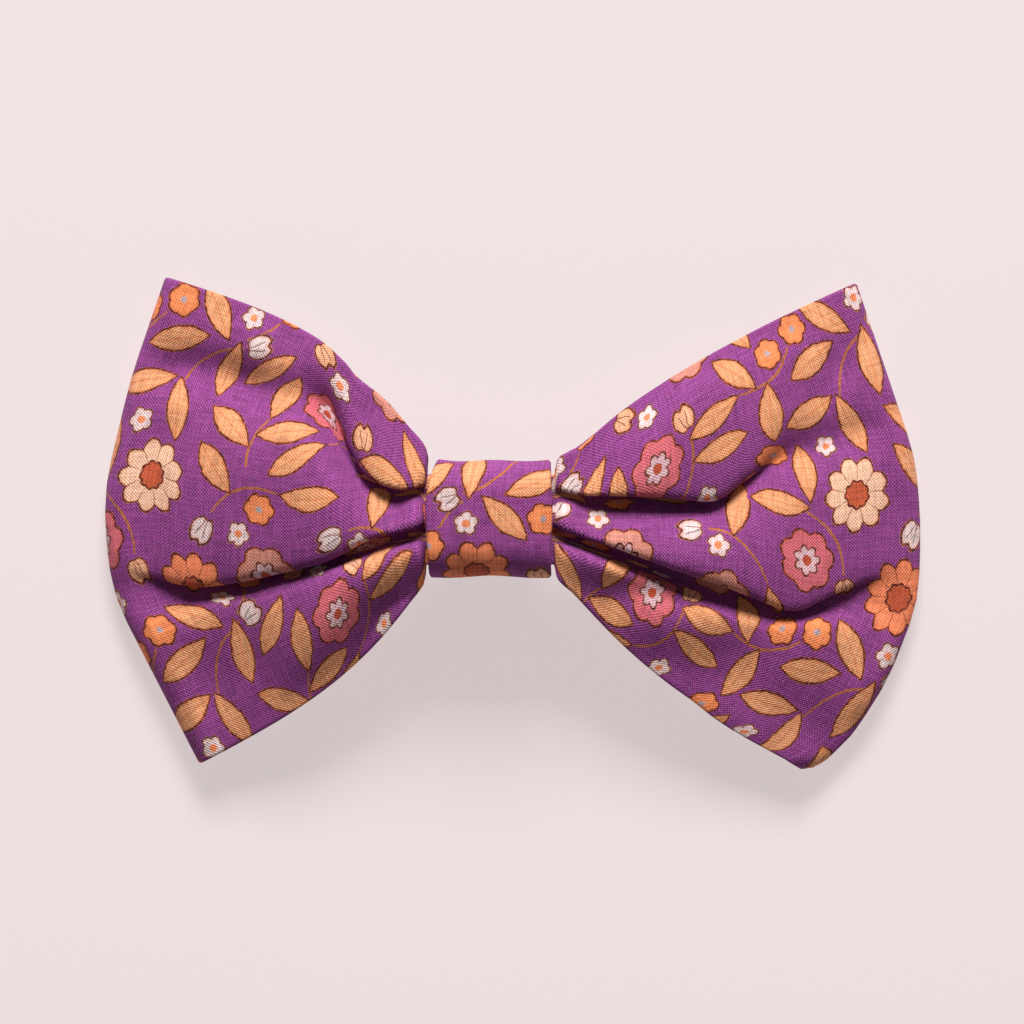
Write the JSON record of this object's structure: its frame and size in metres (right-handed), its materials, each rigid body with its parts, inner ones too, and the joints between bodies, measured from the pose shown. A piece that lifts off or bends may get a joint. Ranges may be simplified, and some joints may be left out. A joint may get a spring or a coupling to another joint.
{
  "type": "pet bow tie",
  "caption": "Pleated cotton bow tie with a wrapped centre band and a flat elastic loop behind it that slides onto a pet's collar.",
  "frame": {"origin": "middle of the base of the bow lying on its back", "axes": "+X the bow's right seen from the front, +Y its top, +Z the way its front faces"},
  "size_m": [0.1138, 0.0688, 0.0212],
  "materials": {
    "printed_cotton": "plain weave cotton, matt",
    "elastic": "flat ribbed elastic, matt"
  },
  "bodies": {
    "root": {"bow": "printed_cotton", "knot_band": "printed_cotton", "collar_loop": "elastic"}
  },
  "joints": []
}
